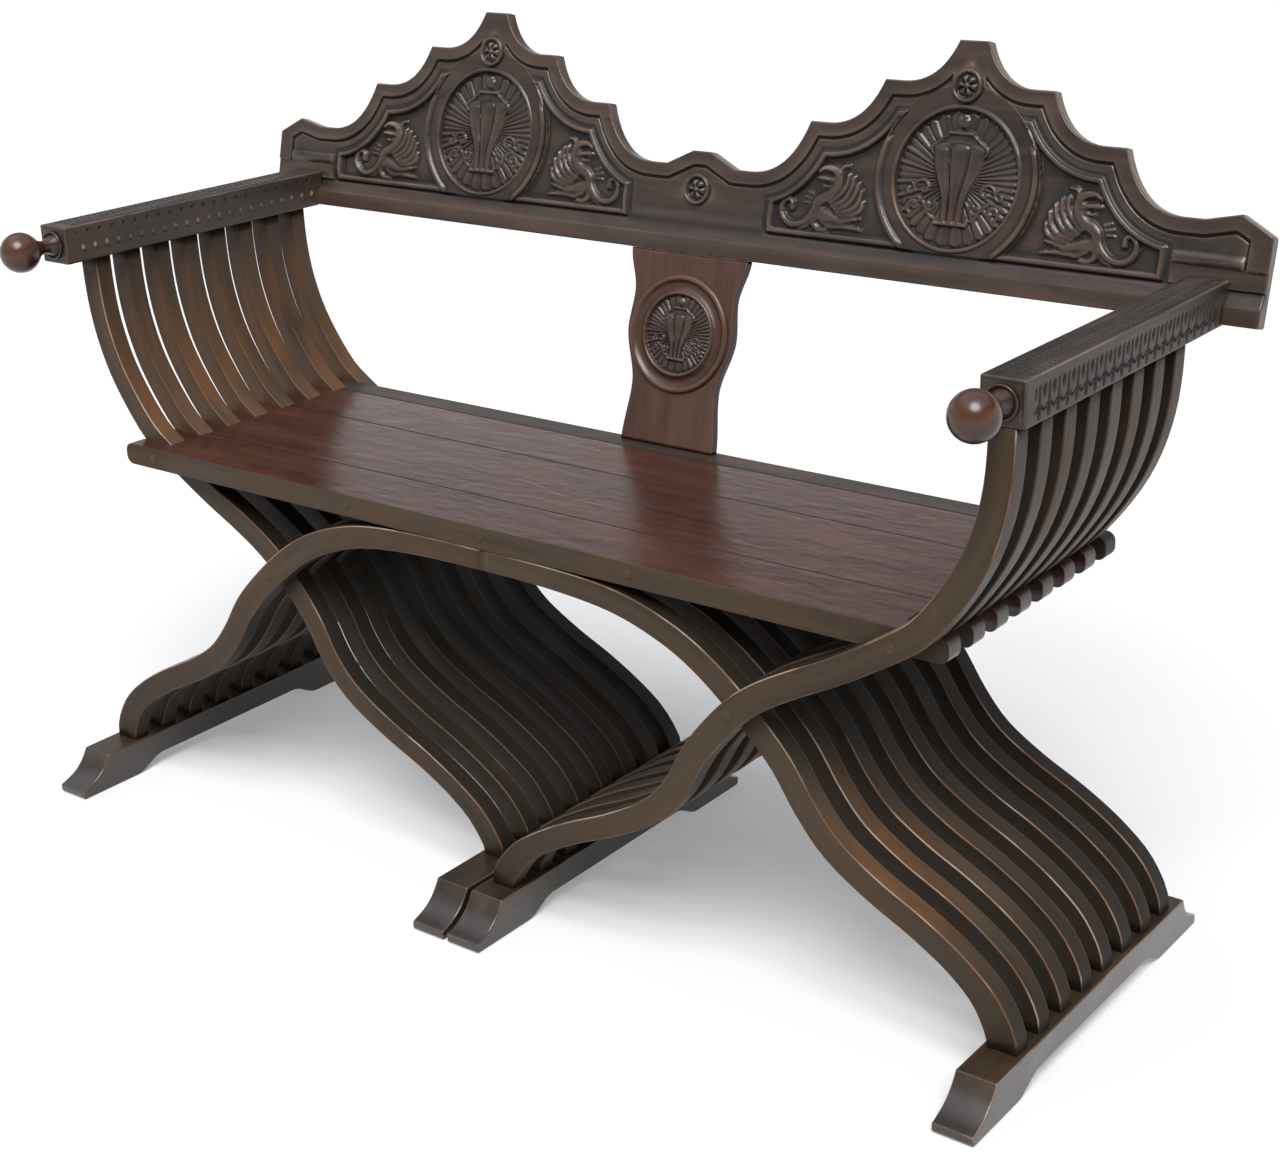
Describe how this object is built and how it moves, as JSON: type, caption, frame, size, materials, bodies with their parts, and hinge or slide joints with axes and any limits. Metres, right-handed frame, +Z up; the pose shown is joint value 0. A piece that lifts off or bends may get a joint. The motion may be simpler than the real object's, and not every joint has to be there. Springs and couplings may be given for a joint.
{
  "type": "savonarola settee",
  "caption": "Carved walnut savonarola settee: crossed frames of curved slats, plank seat, ball-ended arms and a lift-off crest rail with a splat.",
  "frame": {"origin": "middle of the settee's footprint, on the floor", "axes": "+X along the seat to the viewer's right, +Y from the front to the back, +Z up"},
  "size_m": [1.376, 0.5654, 0.9323],
  "materials": {
    "frame_walnut": "dark stained walnut, waxed, worn lighter on edges",
    "seat_walnut": "red-brown walnut, polished",
    "carved_walnut": "dark stained carved walnut, waxed",
    "turned_walnut": "turned walnut, polished by handling"
  },
  "bodies": {
    "frame": {"left_arm_slat_1": "frame_walnut", "left_arm_slat_2": "frame_walnut", "left_arm_slat_3": "frame_walnut", "left_arm_slat_4": "frame_walnut", "left_arm_slat_5": "frame_walnut", "left_arm_slat_6": "frame_walnut", "left_arm_slat_7": "frame_walnut", "left_arm_slat_8": "frame_walnut", "right_arm_slat_1": "frame_walnut", "right_arm_slat_2": "frame_walnut", "right_arm_slat_3": "frame_walnut", "right_arm_slat_4": "frame_walnut", "right_arm_slat_5": "frame_walnut", "right_arm_slat_6": "frame_walnut", "right_arm_slat_7": "frame_walnut", "right_arm_slat_8": "frame_walnut", "left_arch_slat_1": "frame_walnut", "left_arch_slat_2": "frame_walnut", "left_arch_slat_3": "frame_walnut", "left_arch_slat_4": "frame_walnut", "left_arch_slat_5": "frame_walnut", "left_arch_slat_6": "frame_walnut", "left_arch_slat_7": "frame_walnut", "left_arch_slat_8": "frame_walnut", "right_arch_slat_1": "frame_walnut", "right_arch_slat_2": "frame_walnut", "right_arch_slat_3": "frame_walnut", "right_arch_slat_4": "frame_walnut", "right_arch_slat_5": "frame_walnut", "right_arch_slat_6": "frame_walnut", "right_arch_slat_7": "frame_walnut", "right_arch_slat_8": "frame_walnut", "left_outer_foot": "frame_walnut", "left_inner_foot": "frame_walnut", "right_inner_foot": "frame_walnut", "right_outer_foot": "frame_walnut", "left_arm": "carved_walnut", "right_arm": "carved_walnut", "left_finial": "turned_walnut", "right_finial": "turned_walnut", "seat_front_board": "seat_walnut", "seat_middle_board": "seat_walnut", "seat_back_board": "seat_walnut", "seat_rear_strip": "seat_walnut", "left_crossing_rod": "frame_walnut", "right_crossing_rod": "frame_walnut", "left_seat_rod": "frame_walnut", "right_seat_rod": "frame_walnut", "left_seat_dowel": "frame_walnut", "centre_seat_dowel": "frame_walnut", "right_seat_dowel": "frame_walnut"},
    "back": {"crest_rail": "carved_walnut", "splat": "carved_walnut"}
  },
  "joints": [
    {"name": "back_lift", "type": "slide", "parent": "frame", "child": "back", "axis": [0, 0.2419, 0.9703], "range_m": [0, 0.04]}
  ]
}
